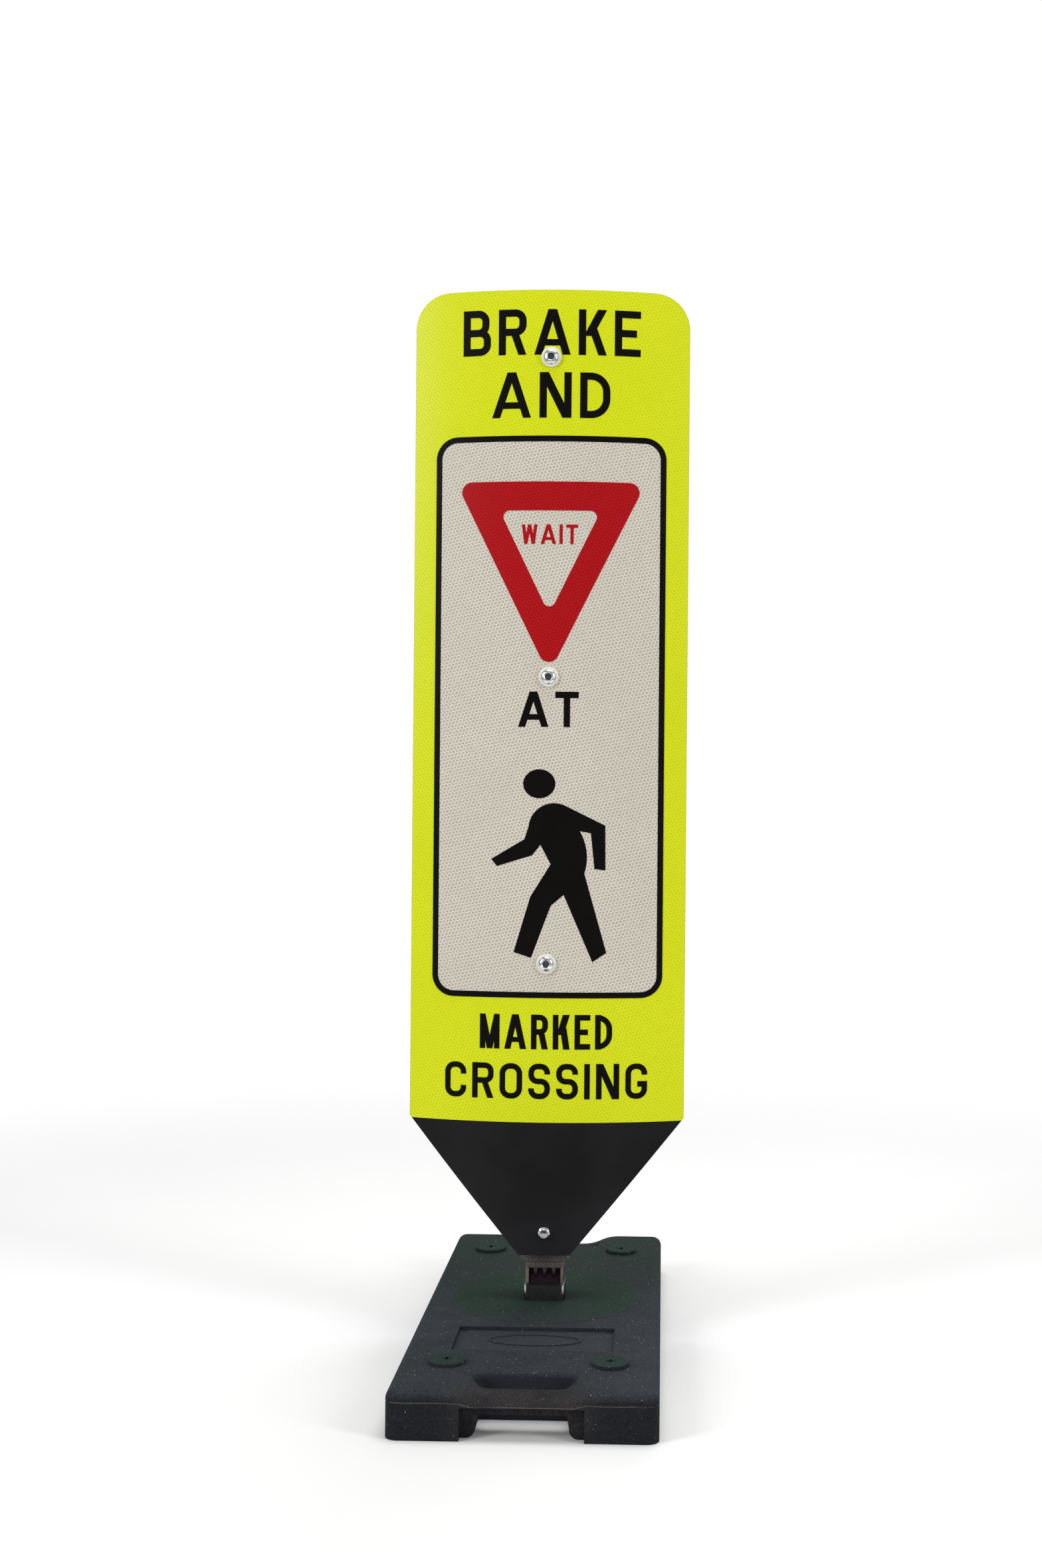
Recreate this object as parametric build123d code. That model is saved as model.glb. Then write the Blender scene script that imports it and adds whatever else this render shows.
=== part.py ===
"""Portable crossing sign: a rubber base slab, a square steel socket, a rubber rebound coupler and
a two-sided bowed sign panel on a square mast.  Millimetres, +Z up, the sign faces -Y.
The origin is the centre of the slab's outline at ground level."""
import os
from math import sqrt

from build123d import *

# ---------------------------------------------------------------- base slab
base_length = 610.0
base_width = 257.0
base_height = 46.0
base_corner_radius = 12.0
base_edge_round = 10.0
end_block_width = 70.0
end_recess_depth = 10.0
end_recess_height = 31.0
arch_width = 84.0
arch_height = 22.0
arch_draft = 2.0
arch_foot_radius = 9.0
hand_slot_length = 98.0
hand_slot_width = 25.0
hand_slot_round = 5.0
grip_bar_width = 35.0
grip_bar_drop = 10.0
grip_bar_slope = 7.0
grip_bar_level = 13.0
grip_bar_flat = 60.0
grip_dip_width = 150.0
lug_diameter = 37.0
lug_height = 4.0
lug_spacing_x = 160.0
lug_spacing_y = 438.0
lug_dimple = 10.0
plate_recess_width = 162.0
plate_recess_length = 78.0
plate_recess_depth = 4.0
plate_recess_from_mast = 119.0
plate_slot_length = 7.0
plate_slot_width = 1.8
plate_slot_margin = 2.4
plate_bead_width = 2.4
plate_bead_height = 1.2
plate_oval_length = 96.0
plate_oval_width = 38.0
plate_bar_length = 136.0
plate_bar_width = 4.0
plate_bar_margin = 8.0
disc_diameter = 210.0
disc_height = 0.6
mast_offset = 20.0

# ---------------------------------------------------------------- steel socket under the sign
anchor_width = 150.0
anchor_thickness = 6.0
anchor_lift = 0.4
anchor_screw_spacing = 110.0
anchor_screw_diameter = 8.0
anchor_screw_length = 24.0
screw_insert_diameter = 12.0
screw_insert_length = 20.0
socket_width = 44.45
socket_wall = 2.1
socket_corner_radius = 5.0
socket_stand = 16.6
moulding_gap = 0.3
screw_clearance = 0.5

# ---------------------------------------------------------------- rubber rebound coupler
coupler_fit = 0.2
shank_floor_gap = 2.0
shank_screw_diameter = 10.0
shank_screw_length = 30.0
shank_insert_diameter = 16.0
shank_insert_length = 28.0
rim_inset = 1.225
rim_thickness = 1.4
web_thickness = 15.0
web_root_thickness = 20.0
web_height = 22.0
rib_width = 3.2
rib_spacing = 10.0
rib_reach = 12.0
collar_inset = 0.4
collar_depth = 25.0
collar_height = 12.0
collar_lip = 1.4
plug_height = 42.0
joint_gap = 0.3

# ---------------------------------------------------------------- mast and panels
mast_width = 50.8
mast_wall = 3.2
mast_corner_radius = 3.0
mast_below_top = 36.0
cap_thickness = 4.0
cap_skirt = 14.0
panel_width = 304.8
panel_height = 1060.0
panel_neck_length = 148.0
panel_neck_overhang = 2.6
panel_thickness = 2.5
panel_top_radius = 38.0
panel_edge_gap = 0.3
panel_mast_gap = 0.1
panel_stand = 52.0

# ---------------------------------------------------------------- reflective film and its graphics
film_below_shoulder = 2.4
film_margin = 0.2
film_foot_radius = 3.0
film_thickness = 0.4
overlay_thickness = 0.2
layer_gap = 0.02
field_side_margin = 25.0
field_top = 160.4
field_bottom = 777.8
field_radius = 24.0
border_thickness = 6.4
triangle_top = 210.8
triangle_half_width = 104.7
triangle_depth = 212.0
triangle_radius = 11.0
triangle_inner_top = 242.6
triangle_inner_half_width = 55.7
triangle_inner_depth = 114.3
triangle_inner_radius = 7.0

# ---------------------------------------------------------------- fasteners through the sign
bolt_drops = (74.4, 425.4, 740.1)
bolt_diameter = 8.0
bolt_hole = 8.6
bolt_head_diameter = 16.5
bolt_head_height = 4.6
bolt_socket = 5.5
bolt_end = 2.0
nylon_washer_diameter = 22.0
nylon_washer_thickness = 2.5
nut_across_flats = 13.0
nut_thickness = 8.0
neck_bolt_rise = 24.7
neck_bolt_diameter = 6.0
neck_bolt_hole = 6.6
neck_flange_diameter = 12.6
neck_flange_thickness = 1.2
neck_hex = 9.5
neck_hex_height = 4.0
neck_washer_thickness = 1.0
neck_nut_across_flats = 10.0
neck_nut_thickness = 4.4
neck_bolt_end = 0.6

# ---------------------------------------------------------------- sizes that follow
rim_width = socket_width - 2 * rim_inset
collar_width = mast_width - 2 * collar_inset
panel_straight = panel_height - panel_neck_length
panel_neck_width = mast_width + 2 * panel_neck_overhang
film_height = panel_straight + film_below_shoulder
field_width = panel_width - 2 * field_side_margin
socket_top = base_height + socket_stand
web_bottom = socket_top + rim_thickness
web_top = web_bottom + web_height
collar_bottom = web_top + joint_gap
panel_bottom = base_height + panel_stand
collar_top = panel_bottom
panel_top = panel_bottom + panel_height
mast_bottom = panel_bottom + joint_gap
mast_top = panel_top - mast_below_top
anchor_top = anchor_lift + anchor_thickness
socket_bore = socket_width - 2 * socket_wall
neck_bolt_height = panel_bottom + neck_bolt_rise

# Each panel is an arc of a cylinder that bears on the edges of the mast's flat and nearly meets
# the other panel at its own side edges.
mast_flat = mast_width / 2 - mast_corner_radius
bearing_y = mast_width / 2 + panel_mast_gap
panel_chord = (panel_width / 2) ** 2 - mast_flat**2
panel_centre_y = (panel_chord / (bearing_y - panel_edge_gap) - bearing_y - panel_edge_gap) / 2
panel_inner_radius = sqrt(mast_flat**2 + (panel_centre_y + bearing_y) ** 2)
panel_inner_y = panel_inner_radius - panel_centre_y
panel_outer_radius = panel_inner_radius + panel_thickness
film_outer_radius = panel_outer_radius + layer_gap + film_thickness
field_outer_radius = film_outer_radius + layer_gap + overlay_thickness
ink_outer_radius = field_outer_radius + layer_gap + overlay_thickness
panel_face_y = panel_inner_y + panel_thickness
film_face_y = panel_face_y + layer_gap + film_thickness
field_face_y = film_face_y + layer_gap + overlay_thickness


def box(x0, x1, y0, y1, z0, z1):
    """A block between two corners."""
    centre = Pos((x0 + x1) / 2, (y0 + y1) / 2, (z0 + z1) / 2)
    return centre * Box(x1 - x0, y1 - y0, z1 - z0)


def square_bar(width, depth, radius, z0, z1):
    """An upright bar of rounded rectangular section, on the mast's axis."""
    return Pos(0, 0, z0) * extrude(RectangleRounded(width, depth, radius), z1 - z0)


def rod_z(diameter, z0, z1):
    """An upright rod on the mast's axis."""
    return Pos(0, 0, (z0 + z1) / 2) * Cylinder(diameter / 2, z1 - z0)


def rod_y(diameter, y0, y1, z):
    """A rod along Y at height z."""
    return Pos(0, (y0 + y1) / 2, z) * Rot(90, 0, 0) * Cylinder(diameter / 2, y1 - y0)


def hex_y(across_flats, y0, y1, z):
    """A hexagonal prism along Y at height z."""
    hexagon = RegularPolygon(across_flats / 2, 6, major_radius=False)
    return Pos(0, y0, z) * Rot(-90, 0, 0) * extrude(hexagon, y1 - y0)


def at_mast(shape):
    """Moves a shape built on the mast's axis to its place on the slab."""
    return Pos(0, mast_offset, 0) * shape


def rear(shape):
    """The rear copy of a front piece, turned about the mast so that its graphics read right."""
    return Rot(0, 0, 180) * shape


def save(node, shape):
    """Writes one node to its own STEP file."""
    export_step(shape, f"parts/{node}.step")


# ================================================================ base slab
def bar_dip():
    """Cutter that scoops the slab over one grip bar, deeper towards the end, with S-shaped sides."""
    flat = grip_bar_flat / 2
    run = grip_dip_width / 2 - flat
    low = base_height - grip_bar_drop
    bend = (run**2 + grip_bar_drop**2) / (4 * grip_bar_drop)
    middle = (flat + run / 2, base_height - grip_bar_drop / 2)
    right = make_face(
        [
            Line((0, low), (flat, low)),
            TangentArc((flat, low), middle, tangent=(1, 0)),
            TangentArc((flat + run, base_height), middle, tangent=(-1, 0)),
            Line((flat + run, base_height), (flat + run, base_height + bend)),
            Line((flat + run, base_height + bend), (0, base_height + bend)),
            Line((0, base_height + bend), (0, low)),
        ]
    )
    profile = Plane.XZ * (right + mirror(right, Plane.YZ))
    end = -base_length / 2
    level = end + grip_bar_level
    inner = end + grip_bar_width + hand_slot_width / 2
    fall = sqrt((inner - level) ** 2 + grip_bar_slope**2)
    raised = Pos(0, inner, grip_bar_slope) * profile
    sloping = extrude(raised, dir=(0, level - inner, -grip_bar_slope), amount=fall)
    return sloping + Pos(0, level, 0) * extrude(profile, grip_bar_level + 1)


def on_rim(edge):
    """True for an edge of the slab's upper outline, on the flat top or over a grip bar."""
    middle = edge.center()
    high = edge.bounding_box().min.Z > base_height - grip_bar_drop - 1
    beside = abs(middle.X) > base_width / 2 - base_corner_radius
    beyond = abs(middle.Y) > base_length / 2 - base_corner_radius
    return high and (beside or beyond)


def arch():
    """Cutter for the finger opening below one grip bar, with flared feet."""
    top = arch_width / 2
    foot = top + arch_draft
    wide = foot + arch_foot_radius
    right = make_face(
        [
            Line((0, -1), (wide, -1)),
            Line((wide, -1), (wide, 0)),
            RadiusArc((wide, 0), (foot, arch_foot_radius), arch_foot_radius),
            Line((foot, arch_foot_radius), (top, arch_height)),
            Line((top, arch_height), (0, arch_height)),
            Line((0, arch_height), (0, -1)),
        ]
    )
    profile = Plane.XZ * (right + mirror(right, Plane.YZ))
    reach = grip_bar_width + hand_slot_width
    return Pos(0, reach - base_length / 2, 0) * extrude(profile, reach + 1)


def hand_slot():
    """Cutter for one hand slot, through the slab."""
    middle = grip_bar_width + hand_slot_width / 2 - base_length / 2
    slot = extrude(SlotOverall(hand_slot_length, hand_slot_width), base_height + 2)
    return Pos(0, middle, -1) * slot


def on_slot_mouth(edge):
    """True for an upper edge of a hand slot."""
    middle = edge.center()
    high = edge.bounding_box().min.Z > base_height - grip_bar_drop - 1
    inside = base_length / 2 - grip_bar_width - hand_slot_width - 1
    outside = base_length / 2 - grip_bar_width + 1
    return high and inside < abs(middle.Y) < outside and abs(middle.X) < hand_slot_length / 2 + 1


def lug():
    """A raised round lug with a cross-shaped dimple."""
    boss = Cylinder(lug_diameter / 2, lug_height)
    boss = fillet(boss.edges().sort_by(Axis.Z)[-1], lug_height / 5)
    dimple = Box(lug_dimple, lug_dimple / 4, lug_height) + Box(lug_dimple / 4, lug_dimple, lug_height)
    dimple += Cylinder(lug_dimple / 4, lug_height)
    boss -= Pos(0, 0, lug_height / 2) * dimple
    return Pos(0, 0, base_height + lug_height / 2) * boss


def plate_marks():
    """The plain raised oval and bar on the name plate recess's floor."""
    far = mast_offset - plate_recess_from_mast
    near = far - plate_recess_length
    floor = base_height - plate_recess_depth
    thin = plate_bead_width
    oval = Ellipse(plate_oval_length / 2, plate_oval_width / 2)
    oval -= Ellipse(plate_oval_length / 2 - thin, plate_oval_width / 2 - thin)
    low = near + plate_bar_margin
    middle = (low + plate_bar_width + far) / 2
    strip = Pos(0, low + plate_bar_width / 2) * Rectangle(plate_bar_length, plate_bar_width)
    return Pos(0, 0, floor - 1) * extrude(Pos(0, middle) * oval + strip, plate_bead_height + 1)


def plate_slots():
    """Cutters for the two small slots in the name plate recess's far corners."""
    far = mast_offset - plate_recess_from_mast - plate_slot_margin
    floor = base_height - plate_recess_depth
    end = plate_recess_width / 2 - plate_slot_margin
    slots = []
    for x0 in (-end, end - plate_slot_length):
        slots.append(box(x0, x0 + plate_slot_length, far - plate_slot_width, far,
                         floor - plate_recess_depth / 2, floor + 1))
    return slots


def make_base_slab():
    """The rubber slab with its grips, lugs, blank name plate recess and socket hole."""
    slab = extrude(RectangleRounded(base_width, base_length, base_corner_radius), base_height)
    for turn in (0, 180):
        slab -= Rot(0, 0, turn) * bar_dip()
    slab = fillet([e for e in slab.edges() if on_rim(e)], base_edge_round)
    for turn in (0, 180):
        slab -= Rot(0, 0, turn) * hand_slot()
    slab = fillet([e for e in slab.edges() if on_slot_mouth(e)], hand_slot_round)
    half_bay = base_width / 2 - end_block_width
    bay = box(-half_bay, half_bay, -base_length / 2 - 1, end_recess_depth - base_length / 2,
              -1, end_recess_height)
    for turn in (0, 180):
        slab -= Rot(0, 0, turn) * (bay + arch())
    for x in (-lug_spacing_x / 2, lug_spacing_x / 2):
        for y in (-lug_spacing_y / 2, lug_spacing_y / 2):
            slab += Pos(x, y, 0) * lug()
    slab += at_mast(rod_z(disc_diameter, base_height - 1, base_height + disc_height))
    far = mast_offset - plate_recess_from_mast
    recess_floor = base_height - plate_recess_depth
    slab -= box(-plate_recess_width / 2, plate_recess_width / 2, far - plate_recess_length, far,
                recess_floor, base_height + 1)
    slab += plate_marks()
    slab -= plate_slots()
    hole = socket_width + 2 * moulding_gap
    pocket = anchor_width + 2 * moulding_gap
    slab -= at_mast(square_bar(hole, hole, socket_corner_radius + moulding_gap, 0, base_height + 1))
    slab -= at_mast(box(-pocket / 2, pocket / 2, -pocket / 2, pocket / 2, -1, anchor_top))
    for x, y in anchor_screw_places():
        bore = rod_z(screw_insert_diameter, anchor_top - 1, anchor_top + screw_insert_length)
        slab -= at_mast(Pos(x, y, 0) * bore)
    return slab


# ================================================================ steel socket under the sign
def anchor_screw_places():
    """The four corners of the anchor plate's screw pattern."""
    half = anchor_screw_spacing / 2
    return [(x, y) for x in (-half, half) for y in (-half, half)]


def flat_screw(diameter, length):
    """A countersunk screw standing up from z = 0, its head's flat at the bottom."""
    rise = diameter / 2
    head = Pos(0, 0, rise / 2) * Cone(diameter * 0.95, diameter / 2, rise)
    shank = rod_z(diameter, 0, length)
    socket = extrude(RegularPolygon(diameter * 0.3, 6), rise * 0.8)
    return head + shank - socket


def countersunk_hole(diameter):
    """Cutter for a flat screw through the anchor plate."""
    rise = diameter / 2
    wide = diameter * 0.95 + screw_clearance / 2
    cone = Pos(0, 0, rise / 2) * Cone(wide, diameter / 2 + screw_clearance / 2, rise)
    return cone + rod_z(diameter + screw_clearance, -1, anchor_thickness + 1)


def make_anchor_plate():
    """The steel plate let into the slab's underside."""
    half = anchor_width / 2
    plate = box(-half, half, -half, half, 0, anchor_thickness)
    for x, y in anchor_screw_places():
        plate -= Pos(x, y, 0) * countersunk_hole(anchor_screw_diameter)
    plate -= countersunk_hole(shank_screw_diameter)
    return at_mast(Pos(0, 0, anchor_lift) * plate)


def make_anchor_screws():
    """Four flat screws that hold the plate to the slab."""
    screw = flat_screw(anchor_screw_diameter, anchor_screw_length)
    places = [at_mast(Pos(x, y, anchor_lift) * screw) for x, y in anchor_screw_places()]
    return Compound(children=places)


def make_screw_inserts():
    """Four round steel inserts moulded into the rubber for the plate's screws."""
    sleeve = rod_z(screw_insert_diameter, anchor_top, anchor_top + screw_insert_length)
    sleeve -= rod_z(anchor_screw_diameter, anchor_top - 1, anchor_top + screw_insert_length + 1)
    places = [at_mast(Pos(x, y, 0) * sleeve) for x, y in anchor_screw_places()]
    return Compound(children=places)


def make_socket_tube():
    """The square steel tube that stands on the anchor plate and takes the coupler's shank."""
    tube = square_bar(socket_width, socket_width, socket_corner_radius, anchor_top, socket_top)
    inner_radius = socket_corner_radius - socket_wall
    tube -= square_bar(socket_bore, socket_bore, inner_radius, anchor_top - 1, socket_top + 1)
    return at_mast(tube)


# ================================================================ rubber rebound coupler
def make_coupler_shank():
    """The coupler's foot: a square shank in the socket and a rim that rests on it."""
    width = socket_bore - 2 * coupler_fit
    floor = anchor_top + shank_floor_gap
    shank = square_bar(width, width, socket_corner_radius - socket_wall, floor, socket_top)
    shank += square_bar(rim_width, rim_width, socket_corner_radius, socket_top, web_bottom)
    shank -= rod_z(shank_insert_diameter, floor - 1, floor + shank_insert_length)
    return at_mast(shank)


def make_shank_insert():
    """The threaded steel insert in the shank's foot."""
    floor = anchor_top + shank_floor_gap
    sleeve = rod_z(shank_insert_diameter, floor, floor + shank_insert_length)
    return at_mast(sleeve - rod_z(shank_screw_diameter, floor - 1, floor + shank_insert_length + 1))


def make_shank_screw():
    """The flat screw that holds the shank down from below."""
    screw = flat_screw(shank_screw_diameter, shank_screw_length)
    return at_mast(Pos(0, 0, anchor_lift) * screw)


def make_coupler_web():
    """The flexing part of the coupler: a waisted web with side ribs and tapered gussets."""
    root = web_root_thickness / 2
    waist = web_thickness / 2
    top = collar_depth / 2
    middle = (web_bottom + web_top) / 2
    front = make_face(
        [
            Line((0, web_bottom), (root, web_bottom)),
            ThreePointArc((root, web_bottom), (waist, middle), (top, web_top)),
            Line((top, web_top), (0, web_top)),
            Line((0, web_top), (0, web_bottom)),
        ]
    )
    section = Plane.YZ * (front + mirror(front, Plane.YZ))
    half = rim_width / 2
    web = Pos(-half, 0, 0) * extrude(section, rim_width)
    gusset = make_face(
        Polyline((0, web_bottom), (root, web_bottom), (rib_reach, web_top), (0, web_top), close=True)
    )
    fin = Plane.YZ * (gusset + mirror(gusset, Plane.YZ))
    for x in (rib_width / 2 - half, -rib_spacing, 0, rib_spacing, half - rib_width / 2):
        web += Pos(x - rib_width / 2, 0, 0) * extrude(fin, rib_width)
    return at_mast(web)


def make_coupler_head():
    """The collar under the panels and the plug inside the mast's foot."""
    waist = rim_width / 2
    half = collar_width / 2
    shoulder = collar_bottom + collar_height / 3
    right = make_face(
        [
            Line((0, collar_bottom), (waist, collar_bottom)),
            ThreePointArc(
                (waist, collar_bottom),
                (waist + (half - waist) * 0.35, collar_bottom + (shoulder - collar_bottom) * 0.65),
                (half, shoulder),
            ),
            Line((half, shoulder), (half + collar_lip, shoulder)),
            Line((half + collar_lip, shoulder), (half, shoulder + 2 * collar_lip)),
            Line((half, shoulder + 2 * collar_lip), (half, collar_top)),
            Line((half, collar_top), (0, collar_top)),
            Line((0, collar_top), (0, collar_bottom)),
        ]
    )
    front = Plane.XZ * (right + mirror(right, Plane.YZ))
    head = Pos(0, collar_depth / 2, 0) * extrude(front, collar_depth)
    width = mast_width - 2 * mast_wall - 2 * coupler_fit
    head += square_bar(width, width, mast_corner_radius, collar_top, collar_top + plug_height)
    head -= rod_y(neck_bolt_hole, -mast_width, mast_width, neck_bolt_height)
    return at_mast(head)


# ================================================================ mast and panels
def make_mast_tube():
    """The square mast between the two panels."""
    inner = mast_width - 2 * mast_wall
    tube = square_bar(mast_width, mast_width, mast_corner_radius, mast_bottom, mast_top)
    tube -= square_bar(inner, inner, mast_corner_radius / 2, mast_bottom - 1, mast_top + 1)
    for drop in bolt_drops:
        tube -= rod_y(bolt_hole, -mast_width, mast_width, panel_top - drop)
    tube -= rod_y(neck_bolt_hole, -mast_width, mast_width, neck_bolt_height)
    return at_mast(tube)


def make_mast_cap():
    """The plug that closes the mast's top."""
    cap = square_bar(mast_width, mast_width, mast_corner_radius, mast_top, mast_top + cap_thickness)
    width = mast_width - 2 * mast_wall - 2 * coupler_fit
    skirt = square_bar(width, width, mast_corner_radius / 2, mast_top - cap_skirt, mast_top)
    skirt -= square_bar(width - 5, width - 5, 1, mast_top - cap_skirt - 1, mast_top)
    return at_mast(cap + skirt)


def bowed(flat, inner_radius, outer_radius):
    """A thin front layer: a flat outline in XZ (drawn in XY) laid on the panel's cylinder."""
    height = panel_top + 20
    pipe = Cylinder(outer_radius, height) - Cylinder(inner_radius, height + 2)
    pipe = Pos(0, panel_centre_y, height / 2) * pipe
    return extrude(Plane.XZ * flat, mast_width) & pipe


def panel_outline():
    """The panel seen from the front: rounded top corners and a tapered neck."""
    half = panel_width / 2
    neck = panel_neck_width / 2
    top = panel_top
    corner = panel_top_radius
    shoulder = panel_top - panel_straight
    right = make_face(
        [
            Line((0, top), (half - corner, top)),
            RadiusArc((half - corner, top), (half, top - corner), corner),
            Line((half, top - corner), (half, shoulder)),
            Line((half, shoulder), (neck, panel_bottom)),
            Line((neck, panel_bottom), (0, panel_bottom)),
            Line((0, panel_bottom), (0, top)),
        ]
    )
    return right + mirror(right, Plane.YZ)


def drill_bolts(shape):
    """Drills the three panel bolts' holes."""
    for drop in bolt_drops:
        shape -= rod_y(bolt_hole, -mast_width, 0, panel_top - drop)
    return shape


def make_panel():
    """The front panel, which the rear one repeats."""
    panel = bowed(panel_outline(), panel_inner_radius, panel_outer_radius)
    panel = drill_bolts(panel)
    return panel - rod_y(neck_bolt_hole, -mast_width, 0, neck_bolt_height)


def film_outline():
    """The reflective film: rounded at the top, nearly square at the foot."""
    width = panel_width - 2 * film_margin
    height = film_height - film_margin
    sheet = Pos(0, panel_top - film_margin - height / 2) * Rectangle(width, height)
    corners = sheet.vertices().sort_by(Axis.Y)
    sheet = fillet(corners[2:], panel_top_radius - film_margin)
    return fillet(sheet.vertices().sort_by(Axis.Y)[:2], film_foot_radius)


def make_film():
    """The coloured reflective film."""
    outline = film_outline() & panel_outline()
    return drill_bolts(bowed(outline, panel_outer_radius + layer_gap, film_outer_radius))


def field_outline(inset):
    """The white field's outline, or the same drawn in by an inset."""
    height = field_bottom - field_top
    middle = panel_top - (field_top + field_bottom) / 2
    shape = RectangleRounded(field_width - 2 * inset, height - 2 * inset, field_radius - inset)
    return Pos(0, middle) * shape


def triangle_outline(top, half_width, depth, radius):
    """A triangle standing on its point, with rounded corners."""
    top_z = panel_top - top
    sharp = Polygon((-half_width, top_z), (0, top_z - depth), (half_width, top_z), align=None)
    return fillet(sharp.vertices(), radius)


def make_field():
    """The white field under the graphics."""
    return drill_bolts(bowed(field_outline(0), film_outer_radius + layer_gap, field_outer_radius))


def ink(flat):
    """A graphic on top of the white field."""
    return bowed(flat, field_outer_radius + layer_gap, ink_outer_radius)


def make_border():
    """The black border round the white field."""
    return ink(field_outline(0) - field_outline(border_thickness))


def outer_triangle():
    """The outer edge of the triangle."""
    return triangle_outline(triangle_top, triangle_half_width, triangle_depth, triangle_radius)


def inner_triangle():
    """The inner edge of the triangle."""
    return triangle_outline(
        triangle_inner_top, triangle_inner_half_width, triangle_inner_depth, triangle_inner_radius
    )


def make_triangle():
    """The red triangle and the word inside it."""
    ring = outer_triangle() - inner_triangle()
    word = lettering("WAIT", 21.4, 3.5, 258.0, 0.92)
    return Compound(children=[ink(piece) for piece in [ring] + word])


# ================================================================ block lettering
def bar(x0, x1, y0, y1):
    """A straight stroke between two corners."""
    return Pos((x0 + x1) / 2, (y0 + y1) / 2) * Rectangle(x1 - x0, y1 - y0)


def slant(x_low, x_high, height, stroke):
    """A leaning stroke with level ends; x_low and x_high are its left corners."""
    return Polygon(
        (x_low, 0), (x_low + stroke, 0), (x_high + stroke, height), (x_high, height), align=None
    )


def loop(width, height, stroke):
    """A rounded ring with its corner at the origin."""
    radius = min(width, height) * 0.46
    outer = RectangleRounded(width, height, radius)
    inner = RectangleRounded(width - 2 * stroke, height - 2 * stroke, radius - stroke)
    return Pos(width / 2, height / 2) * (outer - inner)


def bowl(width, height, stroke):
    """The right half of a ring, as in a D or an R."""
    radius = height * 0.42
    outer = RectangleRounded(2 * width, height, radius)
    inner = RectangleRounded(2 * (width - stroke), height - 2 * stroke, radius - stroke)
    return (Pos(0, height / 2) * (outer - inner)) & bar(0, width, 0, height)


def glyph(letter, h, t, w):
    """One block letter of height h, stroke t and width w, as a flat outline."""
    mid = (h + t) / 2
    low = mid - t
    if letter == "I":
        return bar(0, t, 0, h)
    if letter == "T":
        return bar((w - t) / 2, (w + t) / 2, 0, h) + bar(0, w, h - t, h)
    if letter == "E":
        return bar(0, t, 0, h) + bar(0, w, 0, t) + bar(0, w * 0.85, low, mid) + bar(0, w, h - t, h)
    if letter == "O":
        return loop(w, h, t)
    if letter == "C":
        return loop(w, h, t) - bar(w / 2, w, h * 0.34, h * 0.66)
    if letter == "G":
        gap = loop(w, h, t) - bar(w / 2, w, h * 0.5, h * 0.68)
        return gap + bar(w * 0.55, w, h * 0.5 - t, h * 0.5)
    if letter == "D":
        return bar(0, t, 0, h) + bowl(w, h, t)
    if letter == "S":
        upper = (Pos(0, low) * loop(w, mid, t)) - bar(w / 2, w, 0, h * 0.7)
        lower = loop(w, mid, t) - bar(0, w / 2, h * 0.3, h)
        return upper + lower
    if letter == "B":
        return bar(0, t, 0, h) + Pos(0, low) * bowl(w * 0.94, mid, t) + bowl(w, mid, t)
    if letter == "R":
        leg = slant(w - t * 1.1, w * 0.42, low + t / 2, t * 1.1)
        return bar(0, t, 0, h) + Pos(0, low) * bowl(w, mid, t) + leg
    if letter == "K":
        arm = Pos(0, low) * slant(t * 0.7, w - t * 1.25, h - low, t * 1.25)
        leg = slant(w - t * 1.15, t * 1.3, h * 0.62, t * 1.15)
        return bar(0, t, 0, h) + arm + leg
    if letter == "N":
        return bar(0, t, 0, h) + bar(w - t, w, 0, h) + slant(w - t * 1.25, 0, h, t * 1.25)
    if letter == "M":
        left = slant(w / 2 - t / 2, 0, h, t)
        right = slant(w / 2 - t / 2, w - t, h, t)
        return bar(0, t, 0, h) + bar(w - t, w, 0, h) + left + right
    if letter == "A":
        peak = (w - t * 1.2) / 2
        legs = slant(0, peak, h, t * 1.1) + slant(w - t * 1.1, peak + t * 0.1, h, t * 1.1)
        return legs + bar(w * 0.2, w * 0.8, h * 0.2, h * 0.2 + t * 0.9)
    if letter == "W":
        foot = w * 0.26
        left = slant(foot - t / 2, 0, h, t) + slant(foot - t / 2, w / 2 - t / 2, h, t)
        right = slant(w - foot - t / 2, w - t, h, t) + slant(w - foot - t / 2, w / 2 - t / 2, h, t)
        return left + right
    raise ValueError(letter)


letter_widths = {"W": 0.87, "A": 0.86, "M": 0.78, "O": 0.69, "N": 0.7, "E": 0.61}
other_letter_width = 0.66
letter_space = 0.19


def lettering(word, height, stroke, drop, stretch):
    """The letters of a centred word, its top edge a given drop below the panel's top."""
    widths = [letter_widths.get(c, other_letter_width) * height * stretch for c in word]
    widths = [stroke if c == "I" else w for c, w in zip(word, widths)]
    space = letter_space * height * stretch
    x = -(sum(widths) + space * (len(word) - 1)) / 2
    letters = []
    for character, width in zip(word, widths):
        letters.append(Pos(x, panel_top - drop - height) * glyph(character, height, stroke, width))
        x += width + space
    return letters


lines = (
    ("BRAKE", 50.0, 7.9, 21.5, 0.93),
    ("AND", 50.0, 7.9, 90.7, 1.0),
    ("AT", 38.8, 7.0, 441.5, 1.0),
    ("MARKED", 38.0, 6.1, 796.0, 0.74),
    ("CROSSING", 38.8, 6.1, 849.8, 0.93),
)


def make_legend():
    """The black words: those on the film lie on the film, the one on the field on the field."""
    letters = []
    for word, height, stroke, drop, stretch in lines:
        base = field_outer_radius if on_field(drop) else film_outer_radius
        inner = base + layer_gap
        for letter in lettering(word, height, stroke, drop, stretch):
            letters.append(bowed(letter, inner, inner + overlay_thickness))
    return Compound(children=letters)


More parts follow.
